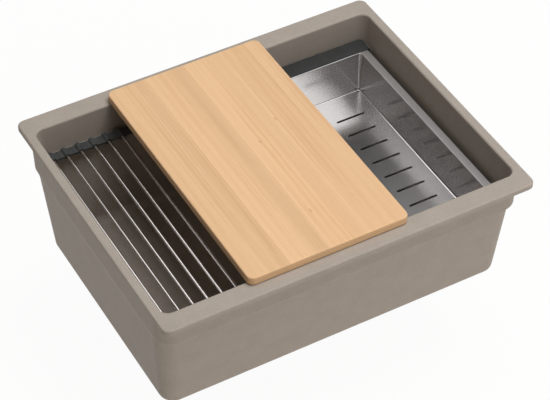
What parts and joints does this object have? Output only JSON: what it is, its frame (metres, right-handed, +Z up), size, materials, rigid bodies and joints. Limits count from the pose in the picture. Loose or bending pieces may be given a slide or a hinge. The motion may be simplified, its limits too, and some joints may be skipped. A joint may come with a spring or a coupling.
{
  "type": "workstation kitchen sink",
  "caption": "Single-bowl composite kitchen sink whose inner ledges carry a roll-up drying rack and a slotted steel colander, with a wooden cutting board across its rim and a basket strainer.",
  "frame": {"origin": "centre of the rim's seat: the plane under the flange, where the rim rests on the worktop", "axes": "+X along the bowl to its right, +Y to the back, +Z up"},
  "size_m": [0.635, 0.516, 0.4183],
  "materials": {
    "composite": "matte",
    "beech": "oiled",
    "satin_steel": "satin",
    "rod_steel": "polished",
    "slate_silicone": "matte",
    "slate_plastic": "matte",
    "seal_rubber": "matte",
    "dark_plastic": "matte",
    "white_plastic": "matte",
    "card": "matte",
    "chrome": "polished"
  },
  "bodies": {
    "sink": {"sink_bowl": "composite", "strainer_body": "satin_steel", "strainer_seal": "seal_rubber", "sink_gasket": "seal_rubber", "friction_ring": "card", "strainer_locknut": "dark_plastic", "outlet_washer": "white_plastic", "coupling_nut": "chrome", "tailpiece": "chrome"},
    "board": {"cutting_board": "beech"},
    "rack": {"rack_strip_back": "slate_silicone", "rack_strip_front": "slate_silicone", "rack_rod_05": "rod_steel", "rack_rod_06": "rod_steel", "rack_rod_07": "rod_steel", "rack_rod_08": "rod_steel", "rack_rod_09": "rod_steel", "rack_rod_10": "rod_steel", "rack_rod_11": "rod_steel"},
    "colander": {"colander_tray": "satin_steel", "colander_rail_back": "slate_plastic", "colander_rail_front": "slate_plastic"},
    "basket": {"strainer_basket": "satin_steel", "basket_stopper": "seal_rubber", "basket_post": "chrome"},
    "rack_link_1": {"rack_rod_01": "rod_steel", "rack_link_back_1": "slate_silicone", "rack_link_front_1": "slate_silicone"},
    "rack_link_2": {"rack_rod_02": "rod_steel", "rack_link_back_2": "slate_silicone", "rack_link_front_2": "slate_silicone"},
    "rack_link_3": {"rack_rod_03": "rod_steel", "rack_link_back_3": "slate_silicone", "rack_link_front_3": "slate_silicone"},
    "rack_link_4": {"rack_rod_04": "rod_steel", "rack_link_back_4": "slate_silicone", "rack_link_front_4": "slate_silicone"}
  },
  "joints": [
    {"name": "board_slide", "type": "slide", "parent": "sink", "child": "board", "axis": [1, 0, 0], "range_m": [0, 0.2]},
    {"name": "rack_slide", "type": "slide", "parent": "sink", "child": "rack", "axis": [1, 0, 0], "range_m": [0, 0.02]},
    {"name": "colander_slide", "type": "slide", "parent": "sink", "child": "colander", "axis": [1, 0, 0], "range_m": [-0.07, 0]},
    {"name": "basket_lift", "type": "slide", "parent": "sink", "child": "basket", "axis": [0, 0, 1], "range_m": [0, 0.06]},
    {"name": "rack_fold_4", "type": "hinge", "parent": "rack", "child": "rack_link_4", "pos_m": [-0.1986, 0, -0.0396], "axis": [0, 1, 0], "range_deg": [0, 30]},
    {"name": "rack_fold_3", "type": "hinge", "parent": "rack_link_4", "child": "rack_link_3", "pos_m": [-0.2226, 0, -0.0396], "axis": [0, 1, 0], "range_deg": [0, 30]},
    {"name": "rack_fold_2", "type": "hinge", "parent": "rack_link_3", "child": "rack_link_2", "pos_m": [-0.2466, 0, -0.0396], "axis": [0, 1, 0], "range_deg": [0, 30]},
    {"name": "rack_fold_1", "type": "hinge", "parent": "rack_link_2", "child": "rack_link_1", "pos_m": [-0.2706, 0, -0.0396], "axis": [0, 1, 0], "range_deg": [0, 30]}
  ],
  "couplings": [
    {"joint": "rack_fold_3", "follows": "rack_fold_4", "ratio": 1},
    {"joint": "rack_fold_2", "follows": "rack_fold_4", "ratio": 1},
    {"joint": "rack_fold_1", "follows": "rack_fold_4", "ratio": 1}
  ]
}
